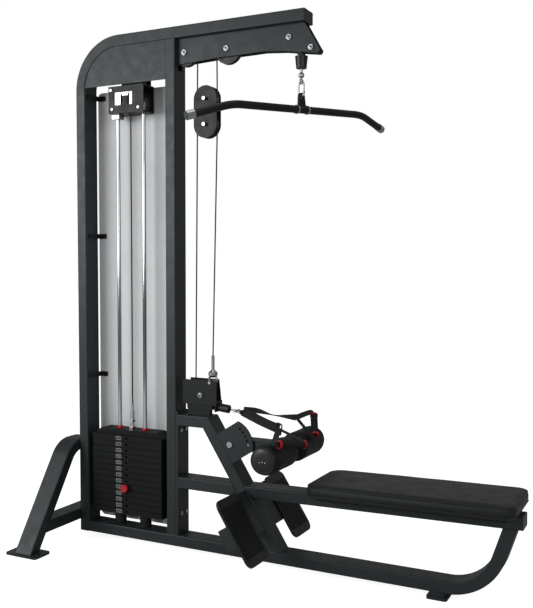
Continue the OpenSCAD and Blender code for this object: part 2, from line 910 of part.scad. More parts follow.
module grip(a, b, r0, r1, ends) {
  u = (b - a) / norm(b - a);
  difference() {
    union() {
      if (ends) {
        rod(a, a + 7 * u, r1);
        rod(b - 7 * u, b, r1);
      }
      else rod(a + 7 * u, b - 7 * u, r1);
    }
    rod(a - u, b + u, r0);
  }
}

module row_grips() {
  color(black) at() {
    grip(g1a, g1b, 12, 15.5, false);
    grip(g2a, g2b, 12, 15.5, false);
  }
}

module grip_rings() {
  color(red) at() {
    grip(g1a, g1b, 12, 17.5, true);
    grip(g2a, g2b, 12, 17.5, true);
  }
}

main_tube();
right_post();
base_rail();
header_panel();
rear_arch();
arch_brace();
floor_feet();
tube_caps();
boom_plates();
post_flange();
slant_tube();
seat_rail();
low_box();
sector_plates();
foot_beam();
foot_plates();
shroud();
shroud_clips();
guide_rods();
rod_bracket();
rod_clamps();
bumpers();
resting_plates();
axle_bolts();
cable_guides();
cable_anchor();
cable_fixed();
cable_stack();
cable_lat();
cable_block();
cable_row();
seat_board();
seat_pad();
head_plate();
lifted_plates();
stack_stem();
rod_bushings();
selector_pin();
pulley_high();
pulley_post();
pulley_boom();
pulley_front();
pulley_low();
block_plates();
block_axles();
pulley_upper();
pulley_lower();
swivel_top();
lat_hook();
lat_gate();
lat_bar();
bar_fittings();
roller_arm();
foam_rollers();
roller_caps();
pop_pin();
row_hook();
row_straps();
row_grips();
grip_rings();
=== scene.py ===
"""Looks for the lat pulldown and low row machine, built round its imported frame."""
import json
import math
import bmesh
import bpy
import numpy as np
from mathutils import Matrix, Vector, noise


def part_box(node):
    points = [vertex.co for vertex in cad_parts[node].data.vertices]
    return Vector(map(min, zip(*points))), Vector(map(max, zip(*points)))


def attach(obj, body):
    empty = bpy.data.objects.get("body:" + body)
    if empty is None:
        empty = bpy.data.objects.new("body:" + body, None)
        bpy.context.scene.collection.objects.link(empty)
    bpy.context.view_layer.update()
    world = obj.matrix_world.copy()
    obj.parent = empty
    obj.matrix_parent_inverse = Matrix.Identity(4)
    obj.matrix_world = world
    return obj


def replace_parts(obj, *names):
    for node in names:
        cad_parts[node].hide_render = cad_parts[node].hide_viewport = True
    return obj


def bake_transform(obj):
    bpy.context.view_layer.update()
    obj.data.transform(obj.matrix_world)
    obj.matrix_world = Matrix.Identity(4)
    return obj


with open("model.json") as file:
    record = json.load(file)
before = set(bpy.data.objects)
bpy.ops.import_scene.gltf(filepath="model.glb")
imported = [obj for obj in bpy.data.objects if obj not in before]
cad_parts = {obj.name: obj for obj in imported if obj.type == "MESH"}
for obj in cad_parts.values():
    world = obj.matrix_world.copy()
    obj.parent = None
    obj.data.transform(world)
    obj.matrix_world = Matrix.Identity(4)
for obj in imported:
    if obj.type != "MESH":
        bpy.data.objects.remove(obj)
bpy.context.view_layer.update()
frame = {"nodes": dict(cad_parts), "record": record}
bpy.context.scene.view_settings.view_transform = "Standard"
NODES = frame["nodes"]
ORIGIN_X = 939  # millimetres from the tower's back face to the frame's origin
CABLE_R = 0.003
RIBBON_STEPS = 8
CLOTH_FRAMES = 20


# ---------------------------------------------------------------- materials
def tree(name):
    """A material with its node tree and its shader."""
    m = bpy.data.materials.new(name)
    m.use_nodes = True
    nt = m.node_tree
    nt.nodes.clear()
    out = nt.nodes.new("ShaderNodeOutputMaterial")
    b = nt.nodes.new("ShaderNodeBsdfPrincipled")
    nt.links.new(b.outputs[0], out.inputs[0])
    return m, nt, b


def node(nt, kind, **values):
    """A shader node; each value goes to the input of that name, or else to the setting."""
    n = nt.nodes.new("ShaderNode" + kind)
    for k, v in values.items():
        if k in n.inputs:
            n.inputs[k].default_value = v
        else:
            setattr(n, k, v)
    return n


def noise_tex(nt, co, scale, detail=3.0, stretch=None):
    if stretch:
        mp = node(nt, "Mapping", Scale=stretch)
        nt.links.new(co, mp.inputs["Vector"])
        co = mp.outputs[0]
    n = node(nt, "TexNoise", Scale=scale, Detail=detail)
    nt.links.new(co, n.inputs["Vector"])
    return n.outputs["Fac"]


def ramp(nt, fac, stops):
    """Colours between stops of (place, (red, green, blue))."""
    r = nt.nodes.new("ShaderNodeValToRGB")
    els = r.color_ramp.elements
    while len(els) < len(stops):
        els.new(0.5)
    for e, (p, c) in zip(els, stops):
        e.position = p
        e.color = (*c, 1)
    nt.links.new(fac, r.inputs[0])
    return r.outputs[0]


def spread(nt, fac, lo, hi, a=0.3, b=0.7):
    """Maps fac from a..b to lo..hi."""
    m = node(nt, "MapRange")
    for i, v in enumerate((a, b, lo, hi), 1):
        m.inputs[i].default_value = v
    nt.links.new(fac, m.inputs[0])
    return m.outputs[0]


def bump(nt, b, height, strength, distance, before=None):
    n = node(nt, "Bump", Strength=strength, Distance=distance)
    nt.links.new(height, n.inputs["Height"])
    if before:
        nt.links.new(before, n.inputs["Normal"])
    nt.links.new(n.outputs[0], b.inputs["Normal"])
    return n.outputs[0]


def finish_mat(name, dark, light, patch, rough, grain, depth, strength, stretch=None,
               metallic=0.0, specular=0.5, sheen=0.0, wear=None, tint=(1, 1, 1)):
    """A two-tone patchy surface with a fine relief; wear lightens small spots."""
    m, nt, b = tree(name)
    co = node(nt, "TexCoord").outputs["Object"]
    broad = noise_tex(nt, co, patch, 4.0, stretch)
    fine = noise_tex(nt, co, grain, 2.0, stretch)
    colour = ramp(nt, broad, [(0.3, dark), (0.7, light)])
    if wear:
        spots = ramp(nt, noise_tex(nt, co, 46.0, 6.0), [(0.68, (0, 0, 0)), (0.78, (1, 1, 1))])
        mix = node(nt, "Mix", data_type="RGBA")
        nt.links.new(spots, mix.inputs[0])
        nt.links.new(colour, mix.inputs[6])
        mix.inputs[7].default_value = (*wear, 1)
        colour = mix.outputs[2]
    nt.links.new(colour, b.inputs["Base Color"])
    nt.links.new(spread(nt, noise_tex(nt, co, 23.0, 5.0, stretch), *rough),
                 b.inputs["Roughness"])
    bump(nt, b, fine, strength, depth)
    b.inputs["Metallic"].default_value = metallic
    b.inputs["Specular IOR Level"].default_value = specular
    b.inputs["Specular Tint"].default_value = (*tint, 1)
    b.inputs["Sheen Weight"].default_value = sheen
    b.inputs["Sheen Roughness"].default_value = 0.45
    return m


def vinyl_mat():
    """Upholstery vinyl: a fine pebbled grain over soft broad unevenness."""
    m, nt, b = tree("vinyl")
    co = node(nt, "TexCoord").outputs["Object"]
    warp = node(nt, "TexNoise", Scale=160.0, Detail=2.0)
    nt.links.new(co, warp.inputs["Vector"])
    mix = node(nt, "Mix", data_type="VECTOR")
    mix.inputs[0].default_value = 0.004
    nt.links.new(co, mix.inputs[4])
    nt.links.new(warp.outputs["Color"], mix.inputs[5])
    cell = node(nt, "TexVoronoi", feature="DISTANCE_TO_EDGE", Scale=520.0)
    nt.links.new(mix.outputs[1], cell.inputs["Vector"])
    grain = ramp(nt, cell.outputs["Distance"], [(0.0, (0, 0, 0)), (0.22, (1, 1, 1))])
    first = bump(nt, b, grain, 0.35, 0.0004)
    soft = noise_tex(nt, co, 9.0, 3.0)
    bump(nt, b, soft, 0.1, 0.003, first)
    nt.links.new(ramp(nt, noise_tex(nt, co, 4.0, 5.0),
                      [(0.3, (0.0055, 0.0066, 0.0073)), (0.7, (0.0075, 0.009, 0.0098))]),
                 b.inputs["Base Color"])
    nt.links.new(spread(nt, noise_tex(nt, co, 14.0, 5.0), 0.42, 0.56), b.inputs["Roughness"])
    b.inputs["Specular IOR Level"].default_value = 0.25
    b.inputs["Sheen Weight"].default_value = 0.03
    b.inputs["Sheen Roughness"].default_value = 0.5
    return m


def webbing_mat():
    """Woven nylon: ribs along the strap, picks across it, from the strap's own UVs in metres."""
    m, nt, b = tree("webbing")
    uv = node(nt, "TexCoord").outputs["UV"]
    heights = []
    for axis, scale in (("X", 290.0), ("Y", 180.0)):
        w = node(nt, "TexWave", bands_direction=axis, Scale=scale, Distortion=0.4)
        w.inputs["Detail"].default_value = 1.0
        nt.links.new(uv, w.inputs["Vector"])
        heights.append(w.outputs["Fac"])
    mul = node(nt, "Math", operation="MULTIPLY")
    nt.links.new(heights[0], mul.inputs[0])
    nt.links.new(heights[1], mul.inputs[1])
    bump(nt, b, mul.outputs[0], 0.8, 0.0006)
    # colour follows the weave's height: painted shade in the weave's hollows, lighter on the
    # raised threads
    nt.links.new(ramp(nt, mul.outputs[0], [(0.0, (0.003, 0.0035, 0.004)),
                                           (0.8, (0.014, 0.015, 0.0165))]),
                 b.inputs["Base Color"])
    co = node(nt, "TexCoord").outputs["Object"]
    nt.links.new(spread(nt, noise_tex(nt, co, 60.0), 0.6, 0.8), b.inputs["Roughness"])
    b.inputs["Specular IOR Level"].default_value = 0.25
    b.inputs["Sheen Weight"].default_value = 0.08
    b.inputs["Sheen Roughness"].default_value = 0.4
    return m


MATS = {
    "frame_paint": finish_mat(
        "frame_paint", (0.0145, 0.0188, 0.02), (0.0165, 0.021, 0.0222), patch=3.0,
        rough=(0.36, 0.5), grain=1100.0, depth=0.00018, strength=0.35, specular=0.3,
        wear=(0.02, 0.0245, 0.026), tint=(0.93, 0.985, 1)),
    "shroud_paint": finish_mat(
        "shroud_paint", (0.55, 0.565, 0.575), (0.66, 0.675, 0.685), patch=1.6,
        rough=(0.45, 0.6), grain=800.0, depth=0.0001, strength=0.2, specular=0.3),
    "black_paint": finish_mat(
        "black_paint", (0.005, 0.0062, 0.0067), (0.0082, 0.0098, 0.0104), patch=7.0,
        rough=(0.38, 0.52), grain=1000.0, depth=0.00015, strength=0.35, specular=0.22),
    "chrome": finish_mat(
        "chrome", (0.42, 0.43, 0.44), (0.48, 0.49, 0.5), patch=12.0, rough=(0.06, 0.15),
        grain=500.0, depth=0.00003, strength=0.2, stretch=(1, 1, 0.05), metallic=1.0),
    "steel": finish_mat(
        "steel", (0.3, 0.31, 0.32), (0.44, 0.45, 0.46), patch=40.0, rough=(0.24, 0.4),
        grain=900.0, depth=0.00006, strength=0.3, stretch=(1, 0.2, 1), metallic=1.0),
    "iron": finish_mat(
        "iron", (0.0022, 0.0027, 0.003), (0.0042, 0.0049, 0.0053), patch=9.0,
        rough=(0.5, 0.66), grain=420.0, depth=0.0005, strength=0.5, specular=0.16,
        wear=(0.008, 0.009, 0.0095)),
    "rubber": finish_mat(
        "rubber", (0.004, 0.0045, 0.005), (0.0075, 0.008, 0.0085), patch=30.0,
        rough=(0.6, 0.8), grain=700.0, depth=0.0003, strength=0.5, specular=0.25),
    "plastic": finish_mat(
        "plastic", (0.004, 0.0045, 0.0048), (0.0075, 0.0082, 0.0086), patch=12.0,
        rough=(0.34, 0.5), grain=1300.0, depth=0.0002, strength=0.4, specular=0.35),
    "red_plastic": finish_mat(
        "red_plastic", (0.33, 0.008, 0.012), (0.42, 0.012, 0.018), patch=30.0,
        rough=(0.3, 0.42), grain=700.0, depth=0.0001, strength=0.2, specular=0.35),
    "red_metal": finish_mat(
        "red_metal", (0.36, 0.008, 0.014), (0.46, 0.012, 0.02), patch=30.0, rough=(0.28, 0.4),
        grain=600.0, depth=0.0001, strength=0.2, metallic=0.2, specular=0.35),
    "coated_cable": finish_mat(
        "coated_cable", (0.003, 0.003, 0.0035), (0.006, 0.006, 0.007), patch=20.0,
        rough=(0.34, 0.5), grain=900.0, depth=0.0002, strength=0.5, stretch=(1, 1, 0.3),
        specular=0.3),
    "board": finish_mat(
        "board", (0.004, 0.0042, 0.0045), (0.008, 0.0085, 0.009), patch=30.0,
        rough=(0.55, 0.75), grain=300.0, depth=0.0004, strength=0.4, stretch=(0.15, 1, 1),
        specular=0.2),
    "foam": finish_mat(
        "foam", (0.0035, 0.0044, 0.005), (0.0065, 0.0078, 0.0086), patch=14.0,
        rough=(0.5, 0.66), grain=650.0, depth=0.0005, strength=0.45, specular=0.22,
        sheen=0.02),
    "vinyl": vinyl_mat(),
    "webbing": webbing_mat(),
    "label": finish_mat(
        "label", (0.2, 0.205, 0.21), (0.3, 0.305, 0.31), patch=60.0, rough=(0.35, 0.5),
        grain=900.0, depth=0.00005, strength=0.2, specular=0.3),
    # near-black: painted shade that fills each bolt head's hex socket
    "socket": finish_mat(
        "socket", (0.006, 0.006, 0.006), (0.014, 0.014, 0.014), patch=200.0, rough=(0.5, 0.7),
        grain=900.0, depth=0.0001, strength=0.3, metallic=0.6),
}
BODIES = frame["record"]["behaviour"]["bodies"]
SLOT_OF = {s["node"]: s["material_slot"] for s in frame["record"]["subparts"]}
for name, o in NODES.items():
    o.data.materials.clear()
    o.data.materials.append(MATS[SLOT_OF[name]])


def body_of(name):
    """The body that carries a CAD node."""
    return next(b for b, nodes in BODIES.items() if name in nodes)


def middle(name):
    """Centre of a CAD node's box."""
    lo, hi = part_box(name)
    return (lo + hi) / 2


# ---------------------------------------------------------------- mesh tools
def new_mesh(name, verts, faces, mat, body=None, smooth=True):
    """A piece from its points and faces, riding on body when one is given."""
    me = bpy.data.meshes.new(name)
    me.from_pydata([tuple(v) for v in verts], [], [tuple(f) for f in faces])
    me.update()
    bm = bmesh.new()
    bm.from_mesh(me)
    bmesh.ops.recalc_face_normals(bm, faces=bm.faces)
    bm.to_mesh(me)
    bm.free()
    o = bpy.data.objects.new(name, me)
    bpy.context.scene.collection.objects.link(o)
    me.materials.append(MATS[mat])
    for p in me.polygons:
        p.use_smooth = smooth
    if body:
        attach(o, body)
    return o


def soften(o, angle=35):
    """Smooth shading with sharp corners kept."""
    me = o.data
    bm = bmesh.new()
    bm.from_mesh(me)
    for e in bm.edges:
        if len(e.link_faces) == 2 and e.calc_face_angle(0) > math.radians(angle):
            e.smooth = False
    bm.to_mesh(me)
    bm.free()


def frame_of(axis):
    """Two directions square to axis and to each other, then axis itself."""
    a = Vector(axis).normalized()
    ref = Vector((0, 0, 1)) if abs(a.z) < 0.9 else Vector((1, 0, 0))
    u = a.cross(ref).normalized()
    return u, a.cross(u), a


def lathe(name, profile, origin, axis, mat, body, n, closed=False):
    """Turned piece; profile is (distance along the axis, radius) pairs, closed for a tube."""
    u, w, a = frame_of(axis)
    origin = Vector(origin)
    verts, faces = [], []
    for s, r in profile:
        for i in range(n):
            t = 2 * math.pi * i / n
            verts.append(origin + a * s + (u * math.cos(t) + w * math.sin(t)) * r)
    k = len(profile)
    for j in range(k if closed else k - 1):
        for i in range(n):
            i2, j2 = (i + 1) % n, (j + 1) % k
            faces.append((j * n + i, j * n + i2, j2 * n + i2, j2 * n + i))
    if not closed:
        faces.append(tuple(range(n - 1, -1, -1)))
        faces.append(tuple(range((k - 1) * n, k * n)))
    o = new_mesh(name, verts, faces, mat, body)
    soften(o)
    return o


def join(objs):
    """One piece from several on one body."""
    first = objs[0]
    with bpy.context.temp_override(active_object=first, object=first,
                                   selected_objects=objs, selected_editable_objects=objs):
        bpy.ops.object.join()
    return first


def catmull(pts, per):
    """Smooth curve through pts, with per steps from each to the next."""
    p = [np.array(x, float) for x in pts]
    p = [2 * p[0] - p[1], *p, 2 * p[-1] - p[-2]]
    out = []
    for i in range(1, len(p) - 2):
        for k in range(per):
            t = k / per
            out.append(0.5 * (2 * p[i] + (p[i + 1] - p[i - 1]) * t
                              + (2 * p[i - 1] - 5 * p[i] + 4 * p[i + 1] - p[i + 2]) * t * t
                              + (3 * p[i] - p[i - 1] - 3 * p[i + 1] + p[i + 2]) * t ** 3))
    out.append(p[-2])
    return [Vector(x) for x in out]


def sweep(name, path, radius, mat, body, n, caps=True):
    """Round bar along a path, with frames carried along it."""
    path = [Vector(p) for p in path]
    u = None
    verts, faces = [], []
    for i, p in enumerate(path):
        d = (path[min(i + 1, len(path) - 1)] - path[max(i - 1, 0)]).normalized()
        if u is None:
            u = frame_of(d)[0]
        u = (u - d * u.dot(d)).normalized()
        w = d.cross(u)
        for k in range(n):
            t = 2 * math.pi * k / n
            verts.append(p + (u * math.cos(t) + w * math.sin(t)) * radius)
    for j in range(len(path) - 1):
        for k in range(n):
            k2 = (k + 1) % n
            faces.append((j * n + k, j * n + k2, (j + 1) * n + k2, (j + 1) * n + k))
    if caps:
        faces.append(tuple(range(n - 1, -1, -1)))
        faces.append(tuple(range((len(path) - 1) * n, len(path) * n)))
    o = new_mesh(name, verts, faces, mat, body)
    soften(o)
    return o


def ribbon(name, pts, ups, width, thick, body):
    """Flat webbing along pts; ups says which way its broad face looks at each point."""
    path = catmull(pts, RIBBON_STEPS)
    faces_up = catmull(ups, RIBBON_STEPS)
    section = [(-0.5, 0), (-0.485, 0.4), (-0.42, 0.5), (0, 0.46), (0.42, 0.5), (0.485, 0.4),
               (0.5, 0), (0.485, -0.4), (0.42, -0.5), (0, -0.46), (-0.42, -0.5),
               (-0.485, -0.4)]
    n = len(section)
    verts, faces, run, uvs = [], [], 0.0, []
    for i, p in enumerate(path):
        d = (path[min(i + 1, len(path) - 1)] - path[max(i - 1, 0)]).normalized()
        up = faces_up[i]
        up = (up - d * up.dot(d)).normalized()
        side = d.cross(up)
        if i:
            run += (p - path[i - 1]).length
        for a, c in section:
            verts.append(p + side * a * width + up * c * thick)
            uvs.append((run, a * width))
    for j in range(len(path) - 1):
        for k in range(n):
            k2 = (k + 1) % n
            faces.append((j * n + k, j * n + k2, (j + 1) * n + k2, (j + 1) * n + k))
    faces.append(tuple(range(n - 1, -1, -1)))
    faces.append(tuple(range((len(path) - 1) * n, len(path) * n)))
    o = new_mesh(name, verts, faces, "webbing", body)
    layer = o.data.uv_layers.new(name="UVMap")
    for loop in o.data.loops:
        layer.data[loop.index].uv = uvs[loop.vertex_index]
    soften(o, 50)
    return o


def puff(o, voxel, pressure, cap, hold):
    """Swells a closed cover by cloth simulation, moving no point further than cap.

    hold(co) pins the points that rest on a board.
    """
    bpy.context.view_layer.update()
    rm = o.modifiers.new("remesh", "REMESH")
    rm.mode = "VOXEL"
    rm.voxel_size = voxel
    dg = bpy.context.evaluated_depsgraph_get()
    me = bpy.data.meshes.new_from_object(o.evaluated_get(dg))
    o.modifiers.clear()
    mats = list(o.data.materials)
    o.data = me
    me.materials.clear()
    for m in mats:
        me.materials.append(m)
    rest = np.array([v.co for v in me.vertices])
    pins = o.vertex_groups.new(name="pins")
    pins.add([i for i, c in enumerate(rest) if hold(c)], 1.0, "REPLACE")
    c = o.modifiers.new("cloth", "CLOTH")
    c.settings.quality = 5
    c.settings.mass = 0.4
    c.settings.tension_stiffness = 25
    c.settings.compression_stiffness = 25
    c.settings.shear_stiffness = 10
    c.settings.bending_stiffness = 4
    c.settings.use_pressure = True
    c.settings.uniform_pressure_force = pressure
    c.settings.vertex_group_mass = "pins"
    c.settings.effector_weights.gravity = 0
    c.point_cache.frame_start, c.point_cache.frame_end = 1, CLOTH_FRAMES
    scene = bpy.context.scene
    for f in range(1, CLOTH_FRAMES + 1):
        scene.frame_set(f)
    dg = bpy.context.evaluated_depsgraph_get()
    ev = o.evaluated_get(dg)
    got = np.array([v.co for v in ev.data.vertices])
    move = got - rest
    far = np.linalg.norm(move, axis=1, keepdims=True)
    move *= np.minimum(1, cap / np.maximum(far, 1e-9))
    o.modifiers.clear()
    scene.frame_set(1)
    me.vertices.foreach_set("co", (rest + move).astype(np.float32).ravel())
    me.update()
    o.vertex_groups.clear()


# ---------------------------------------------------------------- camera, light, floor
def place_camera():
    """The camera stands off the seat's near side and looks at the weight tower."""
    cam = bpy.data.cameras.new("camera")
    o = bpy.data.objects.new("camera", cam)
    bpy.context.scene.collection.objects.link(o)
    yaw, pitch, roll = (math.radians(v) for v in (26.68, -3.45, 0.15))
    d = Vector((-math.sin(yaw) * math.cos(pitch), math.cos(yaw) * math.cos(pitch),
                math.sin(pitch)))
    o.location = (1.574, -3.160, 1.269)
    o.rotation_mode = "QUATERNION"
    o.rotation_quaternion = (d.to_track_quat("-Z", "Y").to_matrix()
                             @ Matrix.Rotation(roll, 3, "Z")).to_quaternion()
    cam.sensor_width = 36
    cam.lens = 50.21
    cam.shift_x, cam.shift_y = 0.0084, 0.0206
    bpy.context.scene.camera = o


def area(name, place, target, size, power):
    """A white rectangular lamp at place, facing target."""
    light = bpy.data.lights.new(name, "AREA")
    light.shape = "RECTANGLE"
    light.size, light.size_y = size
    light.energy = power
    o = bpy.data.objects.new(name, light)
    o.location = place
    o.rotation_mode = "QUATERNION"
    o.rotation_quaternion = (Vector(target) - Vector(place)).to_track_quat("-Z", "Y")
    bpy.context.scene.collection.objects.link(o)


def place_stage():
    """White surroundings, three soft lamps and a pale floor."""
    w = bpy.data.worlds.new("studio")
    w.use_nodes = True
    wt = w.node_tree
    bg = wt.nodes["Background"]
    bg.inputs[0].default_value = (1.0, 1.0, 1.0, 1)
    seen = wt.nodes.new("ShaderNodeLightPath").outputs["Is Camera Ray"]
    wt.links.new(spread(wt, seen, 0.28, 1.0, 0.0, 1.0), bg.inputs[1])
    bpy.context.scene.world = w
    area("key", (-3.2, -4.2, 2.2), (0, 0, 1.0), (3.0, 2.2), 175)
    area("fill", (3.6, -3.4, 2.4), (0.2, 0, 0.9), (2.4, 2.4), 60)
    area("top", (0.2, -0.4, 4.6), (0.2, 0, 0.6), (3.2, 2.6), 25)
    bm = bmesh.new()
    bmesh.ops.create_grid(bm, x_segments=8, y_segments=8, size=30)
    me = bpy.data.meshes.new("floor")
    bm.to_mesh(me)
    bm.free()
    o = bpy.data.objects.new("floor", me)
    m, nt, b = tree("floor")
    co = node(nt, "TexCoord").outputs["Object"]
    nt.links.new(ramp(nt, noise_tex(nt, co, 0.8), [(0.3, (0.58, 0.58, 0.58)),
                                                  (0.7, (0.6, 0.6, 0.6))]),
                 b.inputs["Base Color"])
    b.inputs["Roughness"].default_value = 0.8
    b.inputs["Specular IOR Level"].default_value = 0.1
    b.inputs["Emission Color"].default_value = (1, 1, 1, 1)
    path = nt.nodes.new("ShaderNodeLightPath").outputs["Is Camera Ray"]
    nt.links.new(spread(nt, path, 0.0, 0.86, 0.0, 1.0), b.inputs["Emission Strength"])
    me.materials.append(m)
    bpy.context.scene.collection.objects.link(o)


# ---------------------------------------------------------------- seat
def rounded_rect(hx, hy, r, n=10):
    """Outline of half sizes hx and hy with corners of radius r, n steps to a corner."""
    out = []
    for cx, cy, a0 in ((1, 1, 0), (-1, 1, 90), (-1, -1, 180), (1, -1, 270)):
        for i in range(n + 1):
            t = math.radians(a0 + 90 * i / n)
            out.append((cx * (hx - r) + r * math.cos(t), cy * (hy - r) + r * math.sin(t)))
    return out


def seat():
    """The seat's cushion, built level and then given the rail's small rise, and its welts."""
    tilt = math.radians(1.05)
    lo, hi = Vector((0.251, -0.165, 0.352)), Vector((1.064, 0.165, 0.406))
    pivot = Vector((-0.039, 0, 0.292))
    rise = (Matrix.Translation(pivot) @ Matrix.Rotation(-tilt, 4, "Y")
            @ Matrix.Translation(-pivot))
    c = (lo + hi) / 2
    hx, hy = (hi.x - lo.x) / 2, (hi.y - lo.y) / 2
    h = hi.z - lo.z
    corner, least_corner = 0.052, 0.02
    slack = 0.002
    # inset from the widest line and share of the height of each ring
    rings = [(0.012, 0.0), (0.007, 0.04), (0.003, 0.16), (0.0, 0.42), (0.0, 0.7),
             (0.002, 0.83), (0.006, 0.92), (0.012, 0.97), (0.026, 1.0)]
    outlines = [rounded_rect(hx - inset - slack, hy - inset - slack,
                             max(corner - inset * 0.7, least_corner)) for inset, _ in rings]
    verts = [(c.x + x, c.y + y, lo.z + z * (h - slack))
             for (_, z), ring in zip(rings, outlines) for x, y in ring]
    n = len(outlines[0])
    last = (len(rings) - 1) * n
    faces = [(j + i, j + (i + 1) % n, j + n + (i + 1) % n, j + n + i)
             for j in range(0, last, n) for i in range(n)]
    faces += [tuple(range(n)), tuple(range(last, last + n))]
    pad = new_mesh("seat_cushion", verts, faces, "vinyl")
    board_line = lo.z + 0.012
    puff(pad, voxel=0.005, pressure=0.8, cap=0.0022, hold=lambda p: p[2] < board_line)
    # a low crown, which fades out towards the edges, and a little unevenness on top
    fade, crown, sink, uneven = 0.12, 0.002, 0.0005, 0.0008
    co = np.array([v.co for v in pad.data.vertices])
    ex = np.clip((hx - np.abs(co[:, 0] - c.x)) / fade, 0, 1)
    ey = np.clip((hy - np.abs(co[:, 1] - c.y)) / fade, 0, 1)
    top = np.clip((co[:, 2] - lo.z - 0.6 * h) / (0.4 * h), 0, 1)
    co[:, 2] += top * (crown * ex * ey - sink)
    for i, v in enumerate(pad.data.vertices):
        co[i, 2] += top[i] * uneven * noise.noise(v.co * 11.0)
    co[:, 2] = np.clip(co[:, 2], lo.z, None)
    pad.data.vertices.foreach_set("co", co.astype(np.float32).ravel())
    pad.data.update()
    for p in pad.data.polygons:
        p.use_smooth = True
    # welts lie on the cover: the top seam and the seam low on the side
    welt_r = 0.0023
    welts = []
    bpy.context.view_layer.update()
    for inset, z in ((0.0035, 0.9), (0.0, 0.2)):
        pts = []
        for x, y in rounded_rect(hx - inset, hy - inset, 0.05):
            _, at, normal, _ = pad.closest_point_on_mesh(
                Vector((c.x + x, c.y + y, lo.z + z * h)))
            pts.append(rise @ (at + normal * 0.0012))
        welts.append(pts)
    pad.data.transform(rise)
    s = pad.modifiers.new("subdiv", "SUBSURF")
    s.levels = s.render_levels = 1
    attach(pad, "frame")
    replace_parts(pad, "seat_pad")
    for k, pts in enumerate(welts):
        sweep(f"seat_welt_{k}", pts + pts[:2], welt_r, "vinyl", "frame", 10, caps=False)


# ---------------------------------------------------------------- thigh rollers
def rollers():
    """Two foam sleeves on the arm's axle, with rows of studs and a moulded cap at each end."""
    lo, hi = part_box("foam_rollers")
    x, z, r = (lo.x + hi.x) / 2, (lo.z + hi.z) / 2, (hi.z - lo.z) / 2
    bore = 0.0127
    inner, out = 0.034, hi.y
    length = e = out - inner
    steps, studs, waist = 14, 14, 0.0009
    prof = [(0.0, bore), (0.0, r * 0.72), (0.0015, r * 0.84), (0.005, r * 0.93),
            (0.011, r * 0.98), (0.02, r)]
    for i in range(1, steps):
        t = i / steps
        prof.append((0.02 + (length - 0.056) * t, r - waist * math.sin(math.pi * t)))
    # the stitched groove near the outer end, then the rounded end
    prof += [(e - 0.036, r - 0.0002), (e - 0.0335, r - 0.0022), (e - 0.031, r - 0.0004),
             (e - 0.02, r - 0.0003), (e - 0.012, r * 0.975), (e - 0.006, r * 0.93),
             (e - 0.002, r * 0.86), (e, r * 0.76), (e, bore)]
    for k, s in (("near", -1), ("far", 1)):
        o = lathe(f"roller_{k}", prof, (x, s * inner, z), (0, s, 0), "foam", "rollers",
                  72, closed=True)
        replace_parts(o, "foam_rollers")
        dots = []
        for i in range(studs):
            t = 2 * math.pi * i / studs
            d = Vector((math.cos(t), 0, math.sin(t)))
            dots.append(lathe(f"roller_dot_{k}_{i}", [(0, 0.003), (0.0006, 0.003),
                                                       (0.001, 0.0022)],
                              Vector((x, s * (out - 0.026), z)) + d * (r - 0.0011), d,
                              "plastic", "rollers", 10))
        join(dots).name = f"roller_studs_{k}"
    cap_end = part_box("roller_caps")[1].y
    rim, thick = 0.054, 0.012
    prof = [(0.0, 0.013), (0.0, rim), (0.003, rim), (0.006, rim - 0.001),
            (0.0085, rim - 0.004), (0.009, rim - 0.006), (0.0078, rim - 0.008),
            (0.0088, rim - 0.011), (0.0105, rim - 0.018), (0.0118, rim - 0.03),
            (thick, 0.0006)]
    for k, s in (("near", -1), ("far", 1)):
        y0 = cap_end - thick
        o = lathe(f"roller_cap_{k}", prof, (x, s * y0, z), (0, s, 0), "plastic",
                  "thigh_arm", 72)
        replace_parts(o, "roller_caps")
        screws = []
        for i in range(3):
            p = Vector((x + (i - 1) * 0.012, s * (y0 + 0.0114), z - 0.004 + 0.003 * (i == 1)))
            screws.append(lathe(f"cap_screw_{k}_{i}", [(0, 0.0026), (0.0008, 0.0026),
                                                        (0.0013, 0.0018), (0.0008, 0.0008)],
                                p, (0, s, 0), "steel", "thigh_arm", 14))
        join(screws).name = f"cap_screws_{k}"


# ---------------------------------------------------------------- cables
def strand(name, a, b):
    """A stretching cable from a, where the frame holds it, to b on a moving body."""
    a, b = Vector(a), Vector(b)
    steps, sides = 14, 14
    path = [a.lerp(b, i / steps) for i in range(steps + 1)]
    o = sweep(name, path, CABLE_R, "coated_cable", None, sides)
    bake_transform(o)
    return o


def cables():
    """The runs of cable that move; those over the pulleys stay with the frame's CAD node."""
    for name, replaced, body in (("cable_to_stack", "cable_stack", "stack"),
                                 ("cable_to_bar", "cable_lat", "swivel")):
        lo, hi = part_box(replaced)
        x = (lo.x + hi.x) / 2
        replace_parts(strand(name, (x, 0, hi.z), (x, 0, lo.z)), replaced)
    lo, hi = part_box("cable_row")
    o = strand("cable_to_row", (lo.x + CABLE_R, 0, hi.z - CABLE_R),
               (hi.x - CABLE_R * 0.15, 0, lo.z + CABLE_R))
    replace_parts(o, "cable_row")
    # the four runs of the floating block leave each pulley at its groove's radius
    axle_inset, block_groove = 0.056, 0.049
    post_groove, boom_groove, low_groove = 0.053, 0.058, 0.045
    lo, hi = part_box("block_plates")
    cx = (lo.x + hi.x) / 2
    upper, lower = hi.z - axle_inset, lo.z + axle_inset
    post, boom, low = (middle(p) for p in ("pulley_post", "pulley_boom", "pulley_low"))
    anchor_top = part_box("cable_anchor")[1].z
    runs = (("a", (post.x + post_groove, 0, post.z), -1, upper),
            ("b", (boom.x - boom_groove, 0, boom.z), 1, upper),
            ("c", (low.x - low_groove, 0, low.z), -1, lower),
            ("d", (middle("cable_anchor").x, 0, anchor_top), 1, lower))
    made = [strand(f"cable_block_{k}", held, (cx + side * block_groove, 0, z))
            for k, held, side, z in runs]
    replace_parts(made[0], "cable_block")


